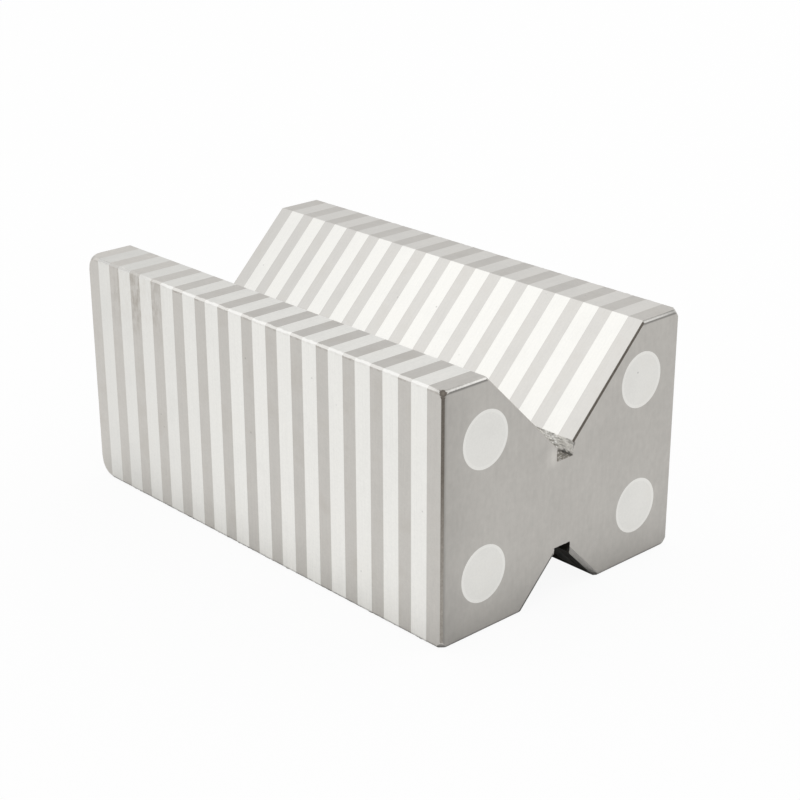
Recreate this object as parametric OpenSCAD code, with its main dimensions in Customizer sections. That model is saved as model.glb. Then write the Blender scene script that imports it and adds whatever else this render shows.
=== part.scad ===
// Laminated magnetic transfer block with a vee along its top and a smaller vee along its base.
// Steel laminations and non-magnetic spacers stand on edge in turn along X, between two steel
// end plates, and four round tie rods run through them all. The stack is ground as one block,
// so every lamination has the same cross-section, and the rods end flush with the end faces.
// X runs along the vees, Y across them and Z up. The origin is the middle of the base.

/* [Block] */
// Width of the block across the vees
block_width = 60; // [56:0.5:90]
// Height of the block from its base to its top lands
block_height = 47.4; // [42:0.2:70]

/* [Laminations] */
// Thickness of each of the two steel end plates
end_plate_thickness = 3.7; // [2.5:0.1:8]
// Thickness of each steel lamination between the end plates
steel_thickness = 3.15; // [1:0.05:6]
// Thickness of each non-magnetic spacer
spacer_thickness = 3.8; // [1:0.05:6]
// Number of spacers, which is one more than the steel laminations between the end plates
spacer_count = 14; // [4:1:27]

/* [Vees] */
// Angle between the two walls of each vee, in degrees
vee_angle = 90; // [80:1:110]
// Width of the top vee's mouth
top_vee_width = 40; // [30:0.5:44]
// Width of the relief slot along the root of the top vee
top_slot_width = 4.2; // [2:0.1:8]
// Depth of the top slot's floor beyond the point where the vee's walls would meet
top_slot_depth = 0.7; // [0.1:0.1:4]
// Width of the base vee's mouth
base_vee_width = 19.5; // [14:0.5:26]
// Width of the relief slot along the root of the base vee
base_slot_width = 4.2; // [2:0.1:8]
// Depth of the base slot's ceiling beyond the point where the vee's walls would meet
base_slot_depth = 0.1; // [0.1:0.1:4]

/* [Tie rods] */
// Diameter of each tie rod
rod_diameter = 10.6; // [6:0.1:12]
// Clearance on the diameter between a tie rod and its holes
rod_clearance = 0.1; // [0.02:0.02:0.4]
// Distance from each side of the block to the rod centres
rod_side_distance = 10; // [8:0.1:12]
// Distance from the top lands down to the upper rod centres
rod_top_distance = 11.2; // [10:0.1:15]
// Distance from the base up to the lower rod centres
rod_base_distance = 11.2; // [8:0.1:15]

/* [Edges] */
// Width of the break along the four long outer edges, measured on each face
long_edge_break = 0.5; // [0.1:0.1:1.2]
// Width of the break around the end faces, measured on each face
end_break = 0.4; // [0.1:0.05:1.5]
// Width of the same break where it follows the walls of the top vee
top_vee_end_break = 0.3; // [0.1:0.05:1.5]
// Width of the same break where it follows the walls of the base vee
base_vee_end_break = 0.8; // [0.1:0.05:1.5]
// Radius of the rounding at the outer corners, as it shows on the three faces that meet there
corner_radius = 2.8; // [1:0.1:3.6]
// Radius of the same rounding at the left corner of the back's base, which is worn more
worn_corner_radius = 3.6; // [1:0.1:3.6]

/* [Hidden] */
// Number of steel laminations between the end plates
steel_count = spacer_count - 1;
// Distance from the start of one spacer to the start of the next
pitch = spacer_thickness + steel_thickness;
// Length of the whole stack along X
block_length = 2 * end_plate_thickness + spacer_count * spacer_thickness + steel_count * steel_thickness;
half_length = block_length / 2;
half_width = block_width / 2;
// How far a cutting shape runs past the surface that it cuts
overcut = 1;
// Smoothness of rods, holes and rounded corners
$fn = 96;
steel_colour = "#8f8d88";
spacer_colour = "#d8d8d4";

// Depth at which the walls of a vee of a given mouth width would meet
function vee_depth(mouth) = mouth / 2 / tan(vee_angle / 2);

// Heights of the two slots' floors, and of the shoulders where slot and vee meet
top_root = block_height - vee_depth(top_vee_width);
top_floor = top_root - top_slot_depth;
top_shoulder = top_root + vee_depth(top_slot_width);
base_root = vee_depth(base_vee_width);
base_ceiling = base_root + base_slot_depth;
base_shoulder = base_root - vee_depth(base_slot_width);

// Right half of the cross-section in Y and Z, from the base slot out, up and in to the top slot
right_half = [
    [base_slot_width / 2, base_ceiling],
    [base_slot_width / 2, base_shoulder],
    [base_vee_width / 2, 0],
    [half_width - long_edge_break, 0],
    [half_width, long_edge_break],
    [half_width, block_height - long_edge_break],
    [half_width - long_edge_break, block_height],
    [top_vee_width / 2, block_height],
    [top_slot_width / 2, top_shoulder],
    [top_slot_width / 2, top_floor]
];
last = len(right_half) - 1;
left_half = [for (i = [0:last]) [-right_half[last - i].x, right_half[last - i].y]];

// Break along each line of the right half where it bounds an end face, none at the two slots
end_breaks = [
    0,
    base_vee_end_break,
    end_break,
    end_break,
    end_break,
    end_break,
    end_break,
    top_vee_end_break,
    0
];

// Radii of the rounded corners, the base's and then the top's, each left and then right.
// The right corner at the top of the back is not rounded.
front_corners = [[corner_radius, corner_radius], [corner_radius, corner_radius]];
back_corners = [[worn_corner_radius, corner_radius], [corner_radius, 0]];

// Centres of the tie rods in Y and Z
rod_y = half_width - rod_side_distance;
rod_centres = [
    [-rod_y, rod_base_distance],
    [rod_y, rod_base_distance],
    [-rod_y, block_height - rod_top_distance],
    [rod_y, block_height - rod_top_distance]
];

// Start of each numbered spacer and steel lamination along X
function spacer_start(number) = -half_length + end_plate_thickness + (number - 1) * pitch;
function steel_start(number) = spacer_start(number) + spacer_thickness;

// Names of the numbered pieces
function numbered(name, number) = str(name, "_", number < 10 ? "0" : "", number);
function spacer_name(number) = numbered("spacer", number);
function steel_name(number) = numbered("steel_lamination", number);
function rod_name(number) = str("tie_rod_", number);

// Turns a drawing in Y and Z into a slab that starts at a place along X
module slab(start, thickness) {
    translate([start, 0, 0])
        rotate([90, 0, 90])
            linear_extrude(thickness)
                children();
}

// Cross-section that the whole stack is ground to, with the holes for the tie rods
module cross_section() {
    difference() {
        polygon(concat(right_half, left_half));
        for (centre = rod_centres)
            translate(centre)
                circle(d = rod_diameter + rod_clearance);
    }
}

// Square bar on its edge along one line of the outline, which breaks that edge of an end face
module edge_bar(from, to, width) {
    run = to - from;
    middle = (from + to) / 2;
    bar = width * sqrt(2);
    translate([0, middle.x, middle.y])
        rotate([atan2(run.y, run.x), 0, 0])
            rotate([0, 45, 0])
                rotate([0, 0, 90])
                    cube([norm(run) + 2 * overcut, bar, bar], center = true);
}

// Material worn off a corner at the origin: what lies outside a ball that meets the three edges
module corner_offcut(radius) {
    translate(-radius * [1, 1, 1])
        difference() {
            cube(radius + overcut);
            sphere(r = radius * sqrt(2));
        }
}

// End plate at the front of the stack, its outer edges broken except at the two slots
module end_plate(corners) {
    difference() {
        slab(half_length - end_plate_thickness, end_plate_thickness)
            cross_section();
        for (side = [0, 1])
            mirror([0, side, 0])
                translate([half_length, 0, 0])
                    for (i = [0:last - 1])
                        if (end_breaks[i] > 0)
                            edge_bar(right_half[i], right_half[i + 1], end_breaks[i]);
        for (side = [0, 1])
            for (level = [0, 1])
                if (corners[level][side] > 0)
                    translate([half_length, (2 * side - 1) * half_width, level * block_height])
                        mirror([0, 1 - side, 0])
                            mirror([0, 0, 1 - level])
                                corner_offcut(corners[level][side]);
    }
}

module end_plate_front() {
    color(steel_colour)
        end_plate(front_corners);
}

module end_plate_back() {
    color(steel_colour)
        mirror([1, 0, 0])
            end_plate(back_corners);
}

// One magnetic steel lamination
module steel_lamination(number) {
    color(steel_colour)
        slab(steel_start(number), steel_thickness)
            cross_section();
}

// One non-magnetic spacer
module spacer(number) {
    color(spacer_colour)
        slab(spacer_start(number), spacer_thickness)
            cross_section();
}

// One round rod through the whole stack, flush with both end faces
module tie_rod(number) {
    color(spacer_colour)
        slab(-half_length, block_length)
            translate(rod_centres[number - 1])
                circle(d = rod_diameter);
}

end_plate_back();
end_plate_front();
for (i = [1:steel_count])
    steel_lamination(i);
for (i = [1:spacer_count])
    spacer(i);
for (i = [1:len(rod_centres)])
    tie_rod(i);
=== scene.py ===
import itertools
import math

import bpy
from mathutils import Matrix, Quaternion, Vector


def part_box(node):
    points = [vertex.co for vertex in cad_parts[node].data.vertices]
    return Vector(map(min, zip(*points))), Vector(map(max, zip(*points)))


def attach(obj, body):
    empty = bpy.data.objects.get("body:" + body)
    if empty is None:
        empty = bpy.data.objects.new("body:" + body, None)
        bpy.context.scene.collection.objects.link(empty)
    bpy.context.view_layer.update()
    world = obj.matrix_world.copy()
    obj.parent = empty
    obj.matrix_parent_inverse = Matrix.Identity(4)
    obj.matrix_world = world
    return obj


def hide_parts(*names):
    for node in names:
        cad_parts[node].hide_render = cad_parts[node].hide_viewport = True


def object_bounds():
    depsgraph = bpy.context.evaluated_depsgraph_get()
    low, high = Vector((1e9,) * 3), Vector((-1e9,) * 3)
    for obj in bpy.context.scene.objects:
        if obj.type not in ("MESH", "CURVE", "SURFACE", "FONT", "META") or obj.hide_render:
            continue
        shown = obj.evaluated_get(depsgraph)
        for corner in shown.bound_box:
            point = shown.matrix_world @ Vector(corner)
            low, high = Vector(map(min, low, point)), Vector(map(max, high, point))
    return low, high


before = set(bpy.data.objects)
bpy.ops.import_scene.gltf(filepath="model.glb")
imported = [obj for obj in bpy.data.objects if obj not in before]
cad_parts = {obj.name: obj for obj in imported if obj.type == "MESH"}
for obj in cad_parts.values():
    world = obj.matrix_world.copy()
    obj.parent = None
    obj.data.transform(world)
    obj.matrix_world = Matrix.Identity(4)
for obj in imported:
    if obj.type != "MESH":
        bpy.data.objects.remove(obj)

cad_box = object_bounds()

# Spacers
# The fourteen light stripes are bars of a soft non-magnetic metal, clamped between the steel
# laminations and ground with them. The relief slots keep the cutter's torn surface, and the
# long outer edges were broken with a stone and have picked up dents.
MM = 0.001
HALF_LENGTH, HALF_WIDTH, HEIGHT = cad_box[1]
LONG_EDGE_BREAK = 0.5 * MM
TOP_VEE_HALF_WIDTH = 20 * MM
BASE_VEE_HALF_WIDTH = 9.75 * MM
SLOT_HALF_WIDTH = 2.1 * MM
# Both vees are square, so their walls would meet as far in as half their width. A shoulder is
# where slot and vee meet.
TOP_SHOULDER = HEIGHT - TOP_VEE_HALF_WIDTH + SLOT_HALF_WIDTH
TOP_SLOT_FLOOR = HEIGHT - TOP_VEE_HALF_WIDTH - 0.7 * MM
BASE_SHOULDER = BASE_VEE_HALF_WIDTH - SLOT_HALF_WIDTH
BASE_SLOT_CEILING = BASE_VEE_HALF_WIDTH + 0.1 * MM
TOUCH = 0.02 * MM
SAME_POINT = TOUCH / 10
PLANE_ANGLE = math.radians(1)
SHARP_ANGLE = math.radians(30)
# Parts of a face's normal along an axis: over the first the face is square to that axis, and
# over the second it is turned towards it more than away.
SQUARE, TOWARDS = 0.9, 0.5


def on_slot(vertex, low, high):
    """Whether a vertex lies on a wall or on the floor of the relief slot between two heights."""
    between = low - TOUCH < vertex.co.z < high + TOUCH
    return between and abs(vertex.co.y) < SLOT_HALF_WIDTH + TOUCH


def on_line(vertex, y, z):
    """Whether a vertex lies on a line along X at this distance from the middle and this height."""
    return abs(abs(vertex.co.y) - y) < TOUCH and abs(vertex.co.z - z) < TOUCH


def select(piece, kind, wanted):
    """Selects the vertices or faces of a piece's mesh that pass a test, ready to edit."""
    bpy.ops.object.mode_set(mode="EDIT")
    bpy.ops.mesh.select_mode(type=kind)
    bpy.ops.mesh.select_all(action="DESELECT")
    bpy.ops.object.mode_set(mode="OBJECT")
    parts = {"VERT": piece.data.vertices, "FACE": piece.data.polygons}
    for part in parts[kind]:
        part.select = wanted(part)
    bpy.ops.object.mode_set(mode="EDIT")


def copy_of_node(node_name):
    """A new piece from a CAD node's mesh, with its doubled vertices merged."""
    bpy.ops.object.select_all(action="DESELECT")
    piece = bpy.data.objects.new("ground_" + node_name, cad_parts[node_name].data.copy())
    bpy.context.scene.collection.objects.link(piece)
    piece.select_set(True)
    bpy.context.view_layer.objects.active = piece
    bpy.ops.object.mode_set(mode="EDIT")
    bpy.ops.mesh.select_all(action="SELECT")
    bpy.ops.mesh.remove_doubles(threshold=SAME_POINT)
    bpy.ops.mesh.customdata_custom_splitnormals_clear()
    bpy.ops.object.mode_set(mode="OBJECT")
    bpy.ops.object.shade_smooth_by_angle(angle=SHARP_ANGLE)
    return piece


def cut_finely(piece, cuts, wanted):
    """Makes the flat faces that pass a test whole, and cuts each into a grid."""
    select(piece, "FACE", wanted)
    bpy.ops.mesh.dissolve_limited(angle_limit=PLANE_ANGLE)
    bpy.ops.mesh.subdivide(number_cuts=cuts)
    bpy.ops.object.mode_set(mode="OBJECT")


def displace(piece, texture, wanted, direction, strength):
    """Moves some vertices to and fro along one axis by a texture, by at most half the strength."""
    group = piece.vertex_groups.new(name="worn")
    group.add([v.index for v in piece.data.vertices if wanted(v)], 1.0, "REPLACE")
    change = piece.modifiers.new("worn", "DISPLACE")
    change.texture = texture
    change.texture_coords = "LOCAL"
    change.vertex_group = group.name
    change.direction = direction
    change.strength = strength
    change.mid_level = 0.5
    bpy.ops.object.modifier_apply(modifier=change.name)
    piece.vertex_groups.clear()


torn_texture = bpy.data.textures.new("torn_slot", "CLOUDS")
torn_texture.noise_scale = 0.5 * MM
torn_texture.noise_depth = 4
TORN_DEPTH = 0.36 * MM
SCRAPED_DEPTH = 0.15 * MM
TORN_CUTS = 21


def tear_slot(piece, shoulder, floor_height):
    """Cuts a relief slot's faces finely and gives them the cutter's torn surface."""
    low, high = sorted((shoulder, floor_height))
    corners = {v.index for v in piece.data.vertices if on_slot(v, low, high)}
    cut_finely(piece, TORN_CUTS, lambda f: all(i in corners for i in f.vertices)
               and abs(f.normal.x) < TOWARDS)

    def on_wall(v):
        beside = abs(v.co.y) > SLOT_HALF_WIDTH - TOUCH
        return on_slot(v, low, high) and beside and abs(v.co.z - shoulder) > TOUCH

    floor_group = {v.index for v in piece.data.vertices
                   if on_slot(v, low, high) and abs(v.co.z - floor_height) < TOUCH}
    displace(piece, torn_texture, on_wall, "Y", TORN_DEPTH)
    displace(piece, torn_texture, lambda v: v.index in floor_group, "Z", SCRAPED_DEPTH)


def tear_slots(piece):
    """Gives the relief slots of both vees their torn surface, the top one's first."""
    tear_slot(piece, TOP_SHOULDER, TOP_SLOT_FLOOR)
    tear_slot(piece, BASE_SHOULDER, BASE_SLOT_CEILING)


dent_texture = bpy.data.textures.new("dented_edge", "CLOUDS")
dent_texture.noise_scale = 0.9 * MM
dent_texture.noise_depth = 2
DENT_DEPTH = 0.45 * MM
DENT_CUTS = 9
WORN_BREAK = 0.4 * MM


def narrow_long_edges(piece):
    """Narrows the breaks along the long outer edges to the width that is left after grinding."""
    inner, middle = HALF_WIDTH - LONG_EDGE_BREAK, HEIGHT / 2
    select(piece, "VERT", lambda v: on_line(v, inner, HEIGHT) or on_line(v, inner, 0))
    bpy.ops.transform.resize(value=(1, (HALF_WIDTH - WORN_BREAK) / inner, 1),
                             center_override=(0, 0, 0))
    bpy.ops.object.mode_set(mode="OBJECT")
    select(piece, "VERT", lambda v: on_line(v, HALF_WIDTH, LONG_EDGE_BREAK)
           or on_line(v, HALF_WIDTH, HEIGHT - LONG_EDGE_BREAK))
    bpy.ops.transform.resize(value=(1, 1, (middle - WORN_BREAK) / (middle - LONG_EDGE_BREAK)),
                             center_override=(0, 0, middle))
    bpy.ops.object.mode_set(mode="OBJECT")


def dent_long_edges(piece, depth):
    """Cuts the breaks along the long outer edges finely and makes their border lines uneven."""
    narrow_long_edges(piece)
    lines = ((HALF_WIDTH - WORN_BREAK, HEIGHT, "Y"), (HALF_WIDTH, HEIGHT - WORN_BREAK, "Z"),
             (HALF_WIDTH - WORN_BREAK, 0, "Y"), (HALF_WIDTH, WORN_BREAK, "Z"))
    corners = {v.index for v in piece.data.vertices if any(on_line(v, y, z) for y, z, _ in lines)}
    cut_finely(piece, DENT_CUTS, lambda f: all(i in corners for i in f.vertices)
               and min(abs(f.normal.y), abs(f.normal.z)) > TOWARDS)
    for y, z, direction in lines:
        displace(piece, dent_texture, lambda v: on_line(v, y, z), direction, depth)


def linear(hex_colour):
    """An sRGB hex colour as the linear values that a shader takes."""
    parts = [int(hex_colour[i:i + 2], 16) / 255 for i in (1, 3, 5)]
    return [c / 12.92 if c <= 0.04045 else ((c + 0.055) / 1.055) ** 2.4 for c in parts] + [1.0]


def add_node(material, kind, settings=None, links=None, values=None):
    """Adds one shader node with its settings, the outputs that feed it and its own values."""
    node = material.node_tree.nodes.new(kind)
    for name, value in (settings or {}).items():
        setattr(node, name, value)
    for socket, value in (values or {}).items():
        node.inputs[socket].default_value = value
    for socket, output in (links or {}).items():
        material.node_tree.links.new(output, node.inputs[socket])
    return node


def metal(name, roughness):
    """An empty metal with its shader and the place on the block that its patterns follow."""
    material = bpy.data.materials.new(name)
    material.use_nodes = True
    shader = material.node_tree.nodes["Principled BSDF"]
    shader.inputs["Metallic"].default_value = 1.0
    shader.inputs["Roughness"].default_value = roughness
    return material, shader, add_node(material, "ShaderNodeTexCoord").outputs["Object"]


def grain(material, place, sizes, detail):
    """Noise whose grains have these sizes along X, Y and Z."""
    scaled = add_node(material, "ShaderNodeMapping", links={"Vector": place},
                      values={"Scale": [1 / size for size in sizes]})
    return add_node(material, "ShaderNodeTexNoise", links={"Vector": scaled.outputs["Vector"]},
                    values={"Scale": 1.0, "Detail": detail, "Roughness": 0.6}).outputs["Fac"]


def stretch(material, value, low, high, to_low, to_high):
    """Maps a value from one range to another, without going past its ends."""
    return add_node(material, "ShaderNodeMapRange", links={"Value": value}, values={
        "From Min": low, "From Max": high, "To Min": to_low, "To Max": to_high}).outputs["Result"]


def combine(material, operation, *values):
    """One number from several by adding, multiplying or another operation."""
    result = values[0]
    for value in values[1:]:
        result = add_node(material, "ShaderNodeMath", {"operation": operation},
                          {0: result, 1: value}).outputs["Value"]
    return result


def shaded(material, hex_colour, shade):
    """A colour made lighter and darker by a shade."""
    return add_node(material, "ShaderNodeVectorMath", {"operation": "SCALE"},
                    {"Scale": shade}, {0: linear(hex_colour)[:3]}).outputs["Vector"]


RELIEF_STRENGTH = 0.4


def colour_and_relief(material, shader, colour, height, depth):
    """Gives a metal its colour and the relief of a height."""
    relief = add_node(material, "ShaderNodeBump", links={"Height": height},
                      values={"Strength": RELIEF_STRENGTH, "Distance": depth})
    material.node_tree.links.new(colour, shader.inputs["Base Color"])
    material.node_tree.links.new(relief.outputs["Normal"], shader.inputs["Normal"])


# One grain's noise, and two and three added up, lie mostly between these values.
ONE_GRAIN, TWO_GRAINS, THREE_GRAINS = (0.3, 0.7), (0.7, 1.3), (1.1, 1.9)
# The grinding lines are about 0.05 mm apart, and are drawn 0.3 mm apart so that they show.
GRINDING_LINE = 0.3 * MM
GRINDING_RUN = 9 * MM
GRINDING_DEPTH = 0.012 * MM
SPECKLE = 0.45 * MM
SHEEN_SPREAD = 0.06
STAIN = 7 * MM
STAIN_FROM, STAIN_TO, STAIN_STRENGTH = 0.5, 0.9, 0.3
PIT_SPACING = 5 * MM
PIT_START, PIT_END, PIT_TONE = 0.02, 0.05, 0.7
# Thumbs have stained the left side near its far top corner, in blotches.
THUMB_STAIN = Vector((-34 * MM, -HALF_WIDTH, HEIGHT - 3 * MM))
THUMB_REACH = 13 * MM
THUMB_DEPTH = 0.5 * MM
THUMB_STRENGTH = 0.75
BLOTCH = (1.2 * MM, 1.2 * MM, 2.5 * MM)
BLOTCH_FROM, BLOTCH_TO = 0.4, 0.7
# Painted shade lies in a thin line under the left top edge's break, and in one above the foot's
# breaks.
UNDER_BREAK_SHADE_FROM, UNDER_BREAK_SHADE_TO = HEIGHT - 0.85 * MM, HEIGHT - 0.6 * MM
UNDER_BREAK_SHADE_END, UNDER_BREAK_SHADE_STOP = HEIGHT - 0.5 * MM, HEIGHT - 0.4 * MM
UNDER_BREAK_SHADE_STRENGTH = 0.6
FOOT_SHADE_LINE_FROM, FOOT_SHADE_LINE_TO, FOOT_SHADE_LINE_TONE = 0.45 * MM, 0.7 * MM, 0.7


def ground_metal(name, hex_colour, stain_hex, roughness, contrast, far_tone=1.0,
                 far_from=-HALF_LENGTH, far_to=0.0):
    """Surface-ground metal: fine lines along Y and Z, a matt speckle, stains, a few pits, and thin
    lines of painted shade under the left top edge's break and above the foot's breaks.
    """
    material, shader, place = metal(name, roughness)
    lines = grain(material, place, (GRINDING_LINE, GRINDING_RUN, GRINDING_RUN), 3.0)
    fine = combine(material, "ADD", lines, grain(material, place, [SPECKLE] * 3, 2.0))
    stain = grain(material, place, [STAIN] * 3, 4.0)
    both = combine(material, "ADD", fine, stain)
    at = add_node(material, "ShaderNodeSeparateXYZ", links={"Vector": place}).outputs
    pits = add_node(material, "ShaderNodeTexVoronoi", links={"Vector": place},
                    values={"Scale": 1 / PIT_SPACING}).outputs["Distance"]
    # The shade holds a painted shade line just above the foot's breaks.
    shade = combine(material, "MULTIPLY",
                    stretch(material, both, *THREE_GRAINS, 1 - contrast, 1 + contrast),
                    stretch(material, at["X"], far_from, far_to, far_tone, 1.0),
                    stretch(material, at["Z"], FOOT_SHADE_LINE_FROM, FOOT_SHADE_LINE_TO,
                            FOOT_SHADE_LINE_TONE, 1.0),
                    stretch(material, pits, PIT_START, PIT_END, PIT_TONE, 1.0))
    from_thumb = add_node(material, "ShaderNodeVectorMath", {"operation": "DISTANCE"},
                          {0: place}, {1: THUMB_STAIN}).outputs["Value"]
    # A painted shade line under the left top edge's break, on the left side only and blotched like
    # the thumb stains.
    under_break_shade = combine(material, "MULTIPLY",
                         stretch(material, at["Z"], UNDER_BREAK_SHADE_FROM, UNDER_BREAK_SHADE_TO,
                                 0.0, UNDER_BREAK_SHADE_STRENGTH),
                         stretch(material, at["Z"], UNDER_BREAK_SHADE_END, UNDER_BREAK_SHADE_STOP, 1.0, 0.0))
    thumb_stain_or_shade = combine(material, "MAXIMUM", under_break_shade,
                     stretch(material, from_thumb, 0, THUMB_REACH, THUMB_STRENGTH, 0.0))
    side_stains_and_shade = combine(material, "MULTIPLY", thumb_stain_or_shade,
                      stretch(material, at["Y"], -HALF_WIDTH, THUMB_DEPTH - HALF_WIDTH, 1.0, 0.0),
                      stretch(material, grain(material, place, BLOTCH, 3.0),
                              BLOTCH_FROM, BLOTCH_TO, 0.0, 1.0))
    stains_and_shade = combine(material, "MAXIMUM", side_stains_and_shade,
                      stretch(material, stain, STAIN_FROM, STAIN_TO, 0.0, STAIN_STRENGTH))
    colour = add_node(material, "ShaderNodeMix", {"data_type": "RGBA"},
                      {"Factor": stains_and_shade, "A": shaded(material, hex_colour, shade)},
                      {"B": linear(stain_hex)})
    colour_and_relief(material, shader, colour.outputs["Result"], fine, GRINDING_DEPTH)
    sheen = stretch(material, fine, *TWO_GRAINS,
                    roughness - SHEEN_SPREAD, roughness + SHEEN_SPREAD)
    material.node_tree.links.new(sheen, shader.inputs["Roughness"])
    return material


# The cutter tore the slots in steps of about 0.1 mm, which are drawn 0.4 mm high.
TORN_STEP = 0.4 * MM
TORN_RUN = 1.2 * MM
TORN_SPOT = 0.6 * MM
TORN_RELIEF = 0.45 * MM
TORN_ROUGHNESS = 0.5
TEAR_FROM, TEAR_TO = 0.38, 0.5
SPOT_FROM, SPOT_TO, SPOT_CONTRAST = 0.4, 0.7, 0.1
CREASE_SHADE_LOW, CREASE_SHADE_HIGH, CREASE_SHADE_TONE = 0.1 * MM, 0.3 * MM, 0.28
CREASE_SHADE_SWAY = 0.8 * MM
# Length of one band of Blender's wave texture at scale 1
WAVE_LENGTH = 2 * math.pi / 20


def torn_metal(name, hex_colour, contrast):
    """Metal torn by a coarse cutter: ragged ledges that catch the light, with painted shade at the
    foot.
    """
    material, shader, place = metal(name, TORN_ROUGHNESS)
    ledges = add_node(material, "ShaderNodeTexWave",
                      {"bands_direction": "Z", "wave_profile": "SAW"}, {"Vector": place},
                      {"Scale": WAVE_LENGTH / TORN_STEP, "Distortion": 7.0, "Detail": 3.0,
                       "Detail Scale": 1.0}).outputs["Fac"]
    tears = grain(material, place, (TORN_RUN, TORN_STEP, TORN_STEP), 4.0)
    spots = grain(material, place, [TORN_SPOT] * 3, 3.0)
    height = add_node(material, "ShaderNodeSeparateXYZ", links={"Vector": place}).outputs["Z"]
    sway = stretch(material, spots, *ONE_GRAIN, -CREASE_SHADE_SWAY / 2, CREASE_SHADE_SWAY / 2)
    # Painted shade in the crease at the wall's foot, with a wavering edge.
    outside_crease_shade = stretch(material, combine(material, "ADD", height, sway),
                    TOP_SLOT_FLOOR + CREASE_SHADE_LOW, TOP_SLOT_FLOOR + CREASE_SHADE_HIGH, CREASE_SHADE_TONE, 1.0)
    shade = combine(material, "MULTIPLY", outside_crease_shade,
                    stretch(material, tears, TEAR_FROM, TEAR_TO, 1 - contrast, 1.0),
                    stretch(material, spots, SPOT_FROM, SPOT_TO,
                            1 - SPOT_CONTRAST, 1 + SPOT_CONTRAST))
    fallen = stretch(material, ledges, 0.0, 1.0, 1.0, 0.0)
    colour_and_relief(material, shader, shaded(material, hex_colour, shade), fallen, TORN_RELIEF)
    return material


def scraped_metal(name, hex_colour):
    """Scraped metal of slot floors, the base slot and the foot's edges: dull, in the colour given,
    which on the steel's base slot and foot is a painted shade.
    """
    material, shader, place = metal(name, TORN_ROUGHNESS)
    scrapes = grain(material, place, (TORN_RUN, TORN_SPOT, TORN_SPOT), 3.0)
    shade = stretch(material, scrapes, *ONE_GRAIN, 1 - SPOT_CONTRAST, 1 + SPOT_CONTRAST)
    colour_and_relief(material, shader, shaded(material, hex_colour, shade), scrapes,
                      GRINDING_DEPTH)
    return material


DENTED_SLANT = 0.4


def place_on_section(face):
    """Which surface of the shared cross-section a face belongs to."""
    across, up = abs(face.center.y), face.center.z
    slant = min(abs(face.normal.y), abs(face.normal.z))
    if abs(face.normal.x) > SQUARE:
        return "contact"
    if across < SLOT_HALF_WIDTH + TORN_DEPTH and BASE_SHOULDER < up < TOP_SHOULDER:
        if up < HEIGHT / 2:
            return "base slot"
        on_floor = face.normal.z > TOWARDS and up < TOP_SLOT_FLOOR + TORN_DEPTH
        return "slot floor" if on_floor else "slot"
    if across > HALF_WIDTH - LONG_EDGE_BREAK and slant > DENTED_SLANT:
        return "edge" if up > HEIGHT / 2 else "foot edge"
    if across < TOP_VEE_HALF_WIDTH and up > TOP_SHOULDER:
        return "vee"
    if across > TOP_VEE_HALF_WIDTH and face.normal.z > SQUARE:
        return "right land" if face.center.y > 0 else "left land"
    return "ground"


def finish(piece, node_name, finishes, surface_of):
    """Gives each face the metal of its surface and puts the piece in its CAD node's place."""
    bpy.ops.object.mode_set(mode="OBJECT")
    materials = list(dict.fromkeys(finishes.values()))
    piece.data.materials.clear()
    for material in materials:
        piece.data.materials.append(material)
    for face in piece.data.polygons:
        face.material_index = materials.index(finishes[surface_of(face)])
    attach(piece, "root")
    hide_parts(node_name)


# Ground light metal is pale with a satin sheen. The lands are rubbed duller, the right one most.
# The stoned edges shine, and are darker towards the far end. The torn slot glitters in small
# ledges, and the scraped places are a dull middle grey.
# The stoned edges are given a darker colour from here towards the far end.
FAR_DARKER_FROM, FAR_DARKER_TO = -36 * MM, -24 * MM
ground_alloy = ground_metal("ground_light_alloy", "#F1F0EC", "#DDDAD4", 0.42, 0.05, 0.9)
land_alloy = ground_metal("rubbed_light_alloy", "#ECEBE7", "#DDDAD4", 0.42, 0.05, 0.86)
dulled_alloy = ground_metal("dulled_light_alloy", "#DBD9D5", "#CFCBC4", 0.45, 0.05)
stoned_alloy = ground_metal("stoned_light_alloy", "#EAE9E6", "#DDDAD4", 0.35, 0.05, 0.7,
                            FAR_DARKER_FROM, FAR_DARKER_TO)
torn_alloy = torn_metal("torn_light_alloy", "#F8F7F4", 0.3)
scraped_alloy = scraped_metal("scraped_light_alloy", "#ACA9A2")
SPACER_FINISHES = {
    "ground": ground_alloy, "contact": ground_alloy, "vee": ground_alloy,
    "left land": land_alloy, "right land": dulled_alloy, "edge": stoned_alloy, "slot": torn_alloy,
    "slot floor": scraped_alloy, "base slot": scraped_alloy, "foot edge": scraped_alloy,
}
for node_name in sorted(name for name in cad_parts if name.startswith("spacer")):
    spacer = copy_of_node(node_name)
    tear_slots(spacer)
    dent_long_edges(spacer, DENT_DEPTH)
    finish(spacer, node_name, SPACER_FINISHES, place_on_section)

# Steel laminations
# The thirteen darker stripes between the end plates: mild steel bars that carry the magnetism,
# ground in one stack with the spacers, so that they share their outline. Steel is harder, so its
# edges are less dented. The vee's walls are given a brighter copy of the ground steel, a painted
# light.
STEEL_DENT_DEPTH = 0.25 * MM
# Ground steel is a darker, warmer grey than the light metal, with brown stains. The far ends of
# its lands are the paler for rubbing. The vee's walls are brighter, a painted light, and the
# stoned edges brighter still.
# The torn and scraped places are as on the spacers, but the base slot and the foot's breaks are
# painted nearly black, a painted shade.
ground_steel = ground_metal("ground_mild_steel", "#C9C6C1", "#8C8274", 0.38, 0.07, 1.05)
land_steel = ground_metal("rubbed_mild_steel", "#C8C5C0", "#8C8274", 0.38, 0.07, 1.18)
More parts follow.
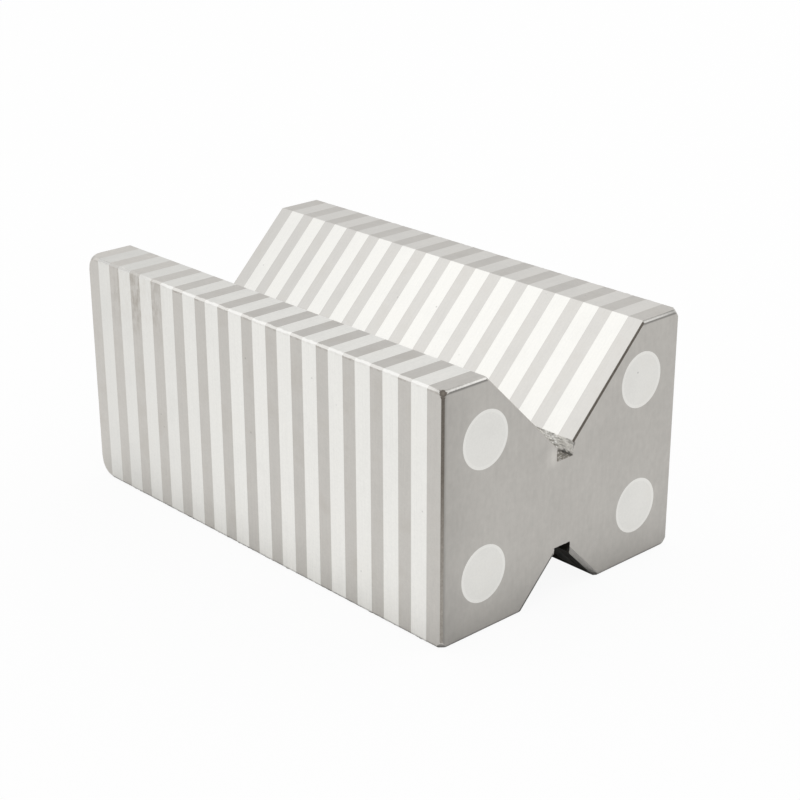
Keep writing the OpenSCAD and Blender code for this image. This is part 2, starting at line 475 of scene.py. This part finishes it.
# A brighter copy of the ground steel for the vee's walls: painted light.
vee_steel_painted_light = ground_metal("ground_mild_steel_painted_light", "#D4D2CE", "#A79F93", 0.36, 0.06, 0.87)
stoned_steel = ground_metal("stoned_mild_steel", "#DAD8D4", "#A79F93", 0.32, 0.07, 0.75,
                            FAR_DARKER_FROM, FAR_DARKER_TO)
torn_steel = torn_metal("torn_mild_steel", "#F0EEEA", 0.35)
scraped_steel = scraped_metal("scraped_mild_steel", "#918D86")
# The base slot and the foot's breaks of the steel are painted nearly black, a painted shade.
steel_painted_shade = scraped_metal("mild_steel_painted_shade", "#5C5852")
STEEL_FINISHES = {
    "ground": ground_steel, "contact": ground_steel, "vee": vee_steel_painted_light,
    "left land": land_steel, "right land": ground_steel, "edge": stoned_steel,
    "slot": torn_steel, "slot floor": scraped_steel, "base slot": steel_painted_shade,
    "foot edge": steel_painted_shade,
}
for node_name in sorted(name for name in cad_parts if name.startswith("steel_lamination")):
    lamination = copy_of_node(node_name)
    tear_slots(lamination)
    dent_long_edges(lamination, STEEL_DENT_DEPTH)
    finish(lamination, node_name, STEEL_FINISHES, place_on_section)

# End plates
# The two thicker steel plates that close the stack. Their faces were rubbed smooth on a stone, and
# are a darker grey than the ground sides, partly their own and partly painted shade. Their edges
# were filed over after the grinding, which left them dark, but along the lands' ends burnished
# bright over a line of painted shade.
END_BREAK = 0.4 * MM
# The far left corners of the lands and of the foot, with the least radius of their wear.
WORN_CORNERS = ((Vector((-HALF_LENGTH, -HALF_WIDTH, HEIGHT)), 3.3 * MM),
                (Vector((-HALF_LENGTH, -HALF_WIDTH, 0)), 4.6 * MM))
WORN_WIDENING = 0.5 * MM
WORN_REACH = 5 * MM
# How far the wearing strokes lean towards each of the three faces that meet at a corner.
WORN_TURNS = (1, 1.4, 2, 3.2, 6)
WORN_STROKES = [turns for turns in itertools.product(WORN_TURNS, repeat=3) if min(turns) == 1]


def wear_corner(plate, corner, least_radius):
    """Rounds a left corner of the back further, by strokes that widen towards the edges."""
    up = 1 if corner.z > 0 else -1
    bpy.ops.object.mode_set(mode="EDIT")
    for x, y, z in WORN_STROKES:
        radius = least_radius + WORN_WIDENING * (max(x, y, z) - 1)
        outwards = Vector((-x, -y, up * z)).normalized()
        stroke = corner + radius * (Vector((1, 1, -up)) + outwards * math.sqrt(2))
        bpy.ops.mesh.select_all(action="SELECT")
        bpy.ops.mesh.bisect(plane_co=stroke, plane_no=outwards, use_fill=True, clear_outer=True,
                            threshold=SAME_POINT)
    bpy.ops.object.mode_set(mode="OBJECT")
    bpy.ops.object.shade_smooth_by_angle(angle=SHARP_ANGLE)


# The lines of the stone are finer than 0.1 mm, and are drawn 0.7 mm wide so that they show.
RUB_LINE = 0.7 * MM
RUB_RUN = 2.5 * MM
RUB_DEPTH = 0.01 * MM
FLECK = 1.2 * MM
MOTTLE, MOTTLE_CONTRAST = 8 * MM, 0.06
# The face is darker near its left side. Painted shade darkens it right at the rounded edge there,
# in a line under the lands' ends, beside the base vee's left edge as far as the slot, and towards
# and at the foot.
LEFT_DARKENING_REACH, LEFT_DARKENING_TONE = 9 * MM, 0.86
ROUNDED_EDGE_SHADE_REACH, ROUNDED_EDGE_SHADE_TONE = 0.6 * MM, 0.72
ROLLED_EDGE_SHADE_WIDTH, ROLLED_EDGE_SHADE_FADE, ROLLED_EDGE_SHADE_TONE = 0.28 * MM, 0.2 * MM, 0.54
BASE_VEE_BREAK = 0.8 * MM
BREAK_ON_WALL = BASE_VEE_BREAK * math.sqrt(2)
BASE_VEE_BORDER = BASE_VEE_HALF_WIDTH + BREAK_ON_WALL
SLOT_BORDER = 2.6 * MM
VEE_SHADE_LINE, SHADE_LINE_FADE, VEE_SHADE_LINE_TONE = 0.35 * MM, 0.25 * MM, 0.35
END_FOOT_SHADE_REACH, END_FOOT_SHADE_TONE = 12 * MM, 0.9
BASE_SHADE_LINE_TONE = 0.5
# The cutter left a bright burr beside the top slot and a dark nick in its right edge.
SLOT_BURR = Vector((HALF_LENGTH, -SLOT_HALF_WIDTH - 0.7 * MM, TOP_SLOT_FLOOR + 1.2 * MM))
BURR_REACH, BURR_TONE = 2.6 * MM, 1.22
SLOT_NICK = Vector((HALF_LENGTH, SLOT_HALF_WIDTH, TOP_SHOULDER - 0.6 * MM))
NICK_REACH, NICK_FADE, NICK_TONE = 0.3 * MM, 0.6 * MM, 0.45


def rubbed_metal(name, hex_colour, roughness):
    """Steel rubbed on a stone: soft mottling and long faint lines, darker at its left, with
    painted shade at its edges and towards its foot.
    """
    material, shader, place = metal(name, roughness)
    rubbed = grain(material, place, (RUB_LINE, RUB_LINE, RUB_RUN), 3.0)
    flecks = combine(material, "ADD", rubbed, grain(material, place, [FLECK] * 3, 3.0))
    mottled = combine(material, "ADD", flecks, grain(material, place, [MOTTLE] * 3, 3.0))
    at = add_node(material, "ShaderNodeSeparateXYZ", links={"Vector": place}).outputs
    from_burr, from_nick = (
        add_node(material, "ShaderNodeVectorMath", {"operation": "DISTANCE"},
                 {0: place}, {1: spot}).outputs["Value"] for spot in (SLOT_BURR, SLOT_NICK))
    rounded = END_BREAK - HALF_WIDTH
    rolled_edge_shade_start = HEIGHT - END_BREAK - ROLLED_EDGE_SHADE_WIDTH
    foot = BASE_VEE_BORDER + VEE_SHADE_LINE
    # Painted shade at the rounded edge, under the lands' ends, beside the base vee, and towards
    # and at the foot.
    beside_vee = combine(material, "SUBTRACT", at["Z"], at["Y"])
    vee_shade_line_mask = combine(material, "MAXIMUM",
                        stretch(material, beside_vee, foot, foot + SHADE_LINE_FADE,
                                VEE_SHADE_LINE_TONE, 1.0),
                        stretch(material, at["Y"], -SLOT_BORDER, -SLOT_HALF_WIDTH, 0.0, 1.0))
    shade = combine(material, "MULTIPLY",
                    stretch(material, mottled, *THREE_GRAINS,
                            1 - MOTTLE_CONTRAST, 1 + MOTTLE_CONTRAST),
                    stretch(material, at["Y"], -HALF_WIDTH, LEFT_DARKENING_REACH - HALF_WIDTH,
                            LEFT_DARKENING_TONE, 1.0),
                    stretch(material, at["Y"], rounded, rounded + ROUNDED_EDGE_SHADE_REACH,
                            ROUNDED_EDGE_SHADE_TONE, 1.0),
                    stretch(material, at["Z"], 0, END_FOOT_SHADE_REACH, END_FOOT_SHADE_TONE, 1.0), vee_shade_line_mask,
                    stretch(material, at["Z"], END_BREAK, END_BREAK + SHADE_LINE_FADE,
                            BASE_SHADE_LINE_TONE, 1.0),
                    stretch(material, at["Z"], rolled_edge_shade_start - ROLLED_EDGE_SHADE_FADE, rolled_edge_shade_start, 1.0, ROLLED_EDGE_SHADE_TONE),
                    stretch(material, from_nick, NICK_REACH, NICK_FADE, NICK_TONE, 1.0),
                    stretch(material, from_burr, 0, BURR_REACH, BURR_TONE, 1.0))
    colour_and_relief(material, shader, shaded(material, hex_colour, shade), flecks, RUB_DEPTH)
    return material


FILE_MARK, FILE_CONTRAST = 0.4 * MM, 0.15
FILE_DEPTH = 0.02 * MM
FILE_ROUGHNESS = 0.3
# The front left corner of the lands was struck, and its tip has a painted highlight.
CORNER_INSET = 0.51 * MM
STRUCK_TIP = Vector((HALF_LENGTH - CORNER_INSET, CORNER_INSET - HALF_WIDTH, HEIGHT - CORNER_INSET))
TIP_HIGHLIGHT_REACH, TIP_HIGHLIGHT_TONE = 0.4 * MM, 1.6
# The lands' ends are bright up to this far from their top, and darker towards the right.
LINE_TOP, LINE_FADE = 0.2 * MM, 0.08 * MM
UPWARDS = (0, 0, 1)
RIGHT_TONE = 0.66
# The base vee's right edge is painted black, as shade, on the slot's side of a line that leans by
# this slope.
SLOT_SHADE_SLOPE = 0.4
INTO_SLOT_SHADE = (0, -1, -SLOT_SHADE_SLOPE)
SLOT_SHADE_BORDER = -SLOT_HALF_WIDTH - SLOT_SHADE_SLOPE * (BASE_SHOULDER + BREAK_ON_WALL)


def filed_metal(name, hex_colour, second_hex, roughness, second_from, second_to, along=None):
    """A filed edge: uneven marks, a painted highlight at the struck tip, and a second colour away
    from the struck corner or one way.
    """
    material, shader, place = metal(name, roughness)
    marks = grain(material, place, [FILE_MARK] * 3, 4.0)
    from_tip = add_node(material, "ShaderNodeVectorMath", {"operation": "DISTANCE"},
                        {0: place}, {1: STRUCK_TIP}).outputs["Value"]
    # Near the struck tip the edge is lighter, a painted highlight.
    shade = combine(material, "MULTIPLY",
                    stretch(material, marks, *ONE_GRAIN, 1 - FILE_CONTRAST, 1 + FILE_CONTRAST),
                    stretch(material, from_tip, 0, TIP_HIGHLIGHT_REACH, TIP_HIGHLIGHT_TONE, 1.0))
    reached = from_tip
    if along:
        across = add_node(material, "ShaderNodeSeparateXYZ", links={"Vector": place}).outputs["Y"]
        shade = combine(material, "MULTIPLY", shade,
                        stretch(material, across, -HALF_WIDTH, HALF_WIDTH, 1.0, RIGHT_TONE))
        reached = add_node(material, "ShaderNodeVectorMath", {"operation": "DOT_PRODUCT"},
                           {0: place}, {1: along}).outputs["Value"]
    second_share = stretch(material, reached, second_from, second_to, 0.0, 1.0)
    colour = add_node(material, "ShaderNodeMix", {"data_type": "RGBA"},
                      {"Factor": second_share, "A": shaded(material, hex_colour, shade),
                       "B": shaded(material, second_hex, shade)})
    colour_and_relief(material, shader, colour.outputs["Result"], marks, FILE_DEPTH)
    return material


# The end faces are grey and softly mottled. The lands' ends have a bright burnished line, and the
# other edges the dark brown of old file marks, paler towards the foot on the upright ones. The
# base vee's right edge is bright, but painted black as shade on the slot's side, and the struck
# corner has a bright rim.
END_FINISHES = {
    **STEEL_FINISHES,
    "end": rubbed_metal("hand_rubbed_mild_steel", "#BBB8B3", 0.42),
    "line": filed_metal("burnished_steel_line", "#DEDCD8", "#B6B4AF", 0.28,
                        HEIGHT - LINE_TOP, HEIGHT - LINE_TOP + LINE_FADE, UPWARDS),
    "filed": filed_metal("dark_filed_steel", "#746E67", "#6A655E", FILE_ROUGHNESS, 0, HALF_WIDTH),
    "side": filed_metal("worn_filed_steel", "#6F6962", "#9F9A93", FILE_ROUGHNESS,
                        14 * MM, 38 * MM),
    # Painted shade: black on the slot's side of the base vee's right edge.
    "base break": filed_metal("base_vee_break_painted_slot_shade", "#D4D1CC", "#2E2B28", 0.38,
                              SLOT_SHADE_BORDER - LINE_FADE, SLOT_SHADE_BORDER, INTO_SLOT_SHADE),
    "struck": filed_metal("struck_steel_corner", "#6F6962", "#BEBBB6", FILE_ROUGHNESS,
                          0.55 * MM, 0.7 * MM),
}
CORNER_BALL = 3 * MM
# Parts of a face's normal along an axis that tell a plate's surfaces apart. A break has 0.7 along
# each of its two axes, and a break on a vee's wall has 0.5 across and 0.5 up or down.
BARELY, PARTLY, MOSTLY, FULLY = 0.1, 0.3, 0.6, 0.95
STRUCK_FACET, BESIDE_STRUCK, FLATTER = 0.44, 0.5, 0.8


def place_on_plate(face):
    """Which surface of an end plate a face belongs to."""
    out, across, up = abs(face.normal.x), abs(face.normal.y), face.normal.z
    if abs(face.center.x) > HALF_LENGTH - TOUCH and out > SQUARE:
        return "end"
    from_worn = min((face.center - corner).length for corner, _ in WORN_CORNERS)
    if from_worn < WORN_REACH and max(out, across, abs(up)) < FULLY:
        return "ground"
    rounded = min(out, across, abs(up)) > PARTLY or up < 0 and min(out, across) > BARELY
    if abs(face.center.y) > HALF_WIDTH - CORNER_BALL and rounded:
        if (face.center - STRUCK_TIP).length > CORNER_BALL:
            return "ground"
        if up < STRUCK_FACET:
            return "side"
        if across < BESIDE_STRUCK and up < FLATTER * out:
            return "filed"
        if across < STRUCK_FACET:
            return "line"
        return "struck" if out > STRUCK_FACET else "edge"
    if out < BARELY or out > SQUARE:
        return place_on_section(face)
    if up > MOSTLY:
        return "line"
    if across > MOSTLY:
        return "side"
    if up > PARTLY:
        return "filed" if face.normal.y < 0 else "ground"
    return "base break" if -MOSTLY < up < 0 and face.normal.y < 0 else "filed"


for node_name in ("end_plate_back", "end_plate_front"):
    plate = copy_of_node(node_name)
    narrow_long_edges(plate)
    if node_name == "end_plate_back":
        for corner, least_radius in WORN_CORNERS:
            wear_corner(plate, corner, least_radius)
    tear_slots(plate)
    finish(plate, node_name, END_FINISHES, place_on_plate)

# Tie rods
# Four rods of the light metal run through the whole stack. Their ends were swelled into the
# holes of the end plates and ground flush, so that no gap shows round them. Each has a thin
# rim, a little lighter than its middle.
ROD_SIDES = 96
ROD_RADIUS = 5.3 * MM
HOLE_RADIUS = 5.35 * MM
SWELLED = 0.6 * MM
RIM = 0.6 * MM
RIM_RISE = 0.02 * MM
# The rods' ends are a little darker than the spacers' ground sides, partly painted shade.
ROD_FINISHES = {
    "rim": ground_metal("swelled_light_alloy", "#E8E7E3", "#CFCBC4", 0.41, 0.05),
    "middle": ground_metal("flush_ground_light_alloy", "#E4E3DF", "#CFCBC4", 0.42, 0.05),
}
for node_name in sorted(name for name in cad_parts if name.startswith("tie_rod")):
    low, high = (Vector(corner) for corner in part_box(node_name))
    centre = (low + high) / 2
    bpy.ops.object.select_all(action="DESELECT")
    bpy.ops.mesh.primitive_cylinder_add(
        vertices=ROD_SIDES, radius=ROD_RADIUS, depth=2 * (HALF_LENGTH - SWELLED),
        location=centre, rotation=(0, math.pi / 2, 0))
    rod = bpy.context.object
    rod.name = "swelled_" + node_name
    bpy.ops.object.transform_apply()
    for end in (-1, 1):
        select(rod, "FACE", lambda f: f.normal.x * end > SQUARE)
        bpy.ops.mesh.extrude_region_move(TRANSFORM_OT_translate={"value": (end * SWELLED, 0, 0)})
        swell = HOLE_RADIUS / ROD_RADIUS
        bpy.ops.transform.resize(value=(1, swell, swell), center_override=centre)
        bpy.ops.mesh.inset(thickness=RIM, depth=-RIM_RISE)
    finish(rod, node_name, ROD_FINISHES,
           lambda face: "middle" if len(face.vertices) > 4 else "rim")
    bpy.ops.object.shade_smooth_by_angle(angle=SHARP_ANGLE)

# Floor
# A wide pale sheet that the block stands on. It shows as white to the camera. The metal shows it
# as white too, but with painted shade near the block's foot, standing for the light the block
# keeps from it, and a little painted light under the rounded corners. Under the block the paper is
# painted dark grey to all but the camera, a painted shadow.
FLOOR_REACH = 5.0
SEEN_WHITE = 0.92
REFLECTED_WHITE = 0.97
FOOT_SHADE_START = -1.5 * MM
FOOT_SHADE = 13 * MM
CORNER_LIGHT_START, CORNER_LIGHT_END, CORNER_LIGHT = -6 * MM, -1 * MM, 0.3
bpy.ops.object.select_all(action="DESELECT")
bpy.ops.mesh.primitive_plane_add(size=2 * FLOOR_REACH)
floor = bpy.context.object
floor.name = "floor"
floor_paper = bpy.data.materials.new("matt_white_paper")
floor_paper.use_nodes = True
paper_shader = floor_paper.node_tree.nodes["Principled BSDF"]
paper_shader.inputs["Roughness"].default_value = 0.9
floor_place = add_node(floor_paper, "ShaderNodeTexCoord").outputs["Object"]
from_middle = add_node(floor_paper, "ShaderNodeVectorMath", {"operation": "ABSOLUTE"},
                       {0: floor_place})
past_sides = add_node(floor_paper, "ShaderNodeVectorMath", {"operation": "SUBTRACT"},
                      {0: from_middle.outputs["Vector"]}, {1: (HALF_LENGTH, HALF_WIDTH, 0)})
past = add_node(floor_paper, "ShaderNodeSeparateXYZ", links={0: past_sides.outputs["Vector"]})
furthest = combine(floor_paper, "MAXIMUM", past.outputs["X"], past.outputs["Y"])
ray = add_node(floor_paper, "ShaderNodeLightPath").outputs
# Painted shadow: under the block the paper is dark grey, except to the camera.
plain = combine(floor_paper, "MAXIMUM", stretch(floor_paper, furthest, 0, TOUCH, 0.0, 1.0),
                ray["Is Camera Ray"])
paper_colour = add_node(floor_paper, "ShaderNodeMix", {"data_type": "RGBA"},
                        {"Factor": plain}, {"A": linear("#4A4A4A"), "B": linear("#F4F4F4")})
floor_paper.node_tree.links.new(paper_colour.outputs["Result"], paper_shader.inputs["Base Color"])
mirrored = combine(floor_paper, "MAXIMUM", ray["Is Glossy Ray"], ray["Is Transmission Ray"])
# Painted shade and light in what the metal reflects: darker near the foot, a little lighter under
# the rounded corners.
under_corner = combine(floor_paper, "ADD", past.outputs["X"], past.outputs["Y"])
reflected_white_painted_shade_and_light = combine(floor_paper, "MAXIMUM",
              stretch(floor_paper, furthest, FOOT_SHADE_START, FOOT_SHADE, 0.0, REFLECTED_WHITE),
              stretch(floor_paper, under_corner, CORNER_LIGHT_START, CORNER_LIGHT_END,
                      0.0, CORNER_LIGHT))
mirrored_share = combine(floor_paper, "MULTIPLY", mirrored, reflected_white_painted_shade_and_light)
white_share = add_node(floor_paper, "ShaderNodeMath", {"operation": "MULTIPLY_ADD"},
                       {0: ray["Is Camera Ray"], 2: mirrored_share}, {1: SEEN_WHITE})
white = add_node(floor_paper, "ShaderNodeEmission", values={"Strength": 1.0})
paper_surface = add_node(floor_paper, "ShaderNodeMixShader",
                         links={0: white_share.outputs["Value"], 1: paper_shader.outputs["BSDF"],
                                2: white.outputs["Emission"]})
floor_paper.node_tree.links.new(paper_surface.outputs["Shader"],
                                floor_paper.node_tree.nodes["Material Output"].inputs["Surface"])
floor.data.materials.append(floor_paper)

# Studio
# A plain white room that is a little darker at the horizon, one large soft lamp high at the
# back left that lights the right wall of the top vee, and one high on the right that catches the
# breaks of the edges.
HORIZON_STRENGTH, SKY_STRENGTH, SKY_HEIGHT = 0.68, 0.9, 0.6
LAMP_DISTANCE, LAMP_SIZE = 1.1, 1.0
studio = bpy.data.worlds.new("studio")
bpy.context.scene.world = studio
studio.use_nodes = True
towards = add_node(studio, "ShaderNodeTexCoord").outputs["Generated"]
height = add_node(studio, "ShaderNodeSeparateXYZ", links={0: towards}).outputs["Z"]
studio.node_tree.links.new(stretch(studio, height, 0, SKY_HEIGHT, HORIZON_STRENGTH, SKY_STRENGTH),
                           studio.node_tree.nodes["Background"].inputs["Strength"])
studio.node_tree.nodes["Background"].inputs["Color"].default_value = (1, 1, 1, 1)
for lamp_name, lamp_towards, power in (("key_lamp", (-0.6, -0.36, 0.72), 1.0),
                                       ("back_lamp", (0.05, 0.66, 0.75), 1.5)):
    lamp = bpy.data.lights.new(lamp_name, "AREA")
    lamp.size = LAMP_SIZE
    lamp.energy = power
    holder = bpy.data.objects.new(lamp_name, lamp)
    bpy.context.scene.collection.objects.link(holder)
    holder.location = Vector(lamp_towards).normalized() * LAMP_DISTANCE
    holder.rotation_euler = Vector(lamp_towards).to_track_quat("Z", "Y").to_euler()
    holder.visible_camera = False

# Camera
# It stands off the block's front left corner and looks down on it, as in the photograph.
AZIMUTH = math.radians(47.12)
ELEVATION = math.radians(21.95)
ROLL = math.radians(-0.14)
DISTANCE = 356.7 * MM
AIM = Vector((-1.96, 9.54, 19.66)) * MM
FOCAL_PIXELS = 1781
IMAGE_PIXELS = 800
SENSOR = 36.0
NEAREST = 10 * MM
back = Vector((math.sin(AZIMUTH) * math.cos(ELEVATION),
               -math.cos(AZIMUTH) * math.cos(ELEVATION), math.sin(ELEVATION)))
lens = bpy.data.cameras.new("camera")
lens.sensor_width = SENSOR
lens.lens = FOCAL_PIXELS / IMAGE_PIXELS * SENSOR
lens.clip_start = NEAREST
camera = bpy.data.objects.new("camera", lens)
bpy.context.scene.collection.objects.link(camera)
camera.location = AIM + back * DISTANCE
camera.rotation_mode = "QUATERNION"
camera.rotation_quaternion = back.to_track_quat("Z", "Y") @ Quaternion((0, 0, 1), ROLL)
bpy.context.scene.camera = camera
bpy.context.scene.view_settings.view_transform = "Standard"
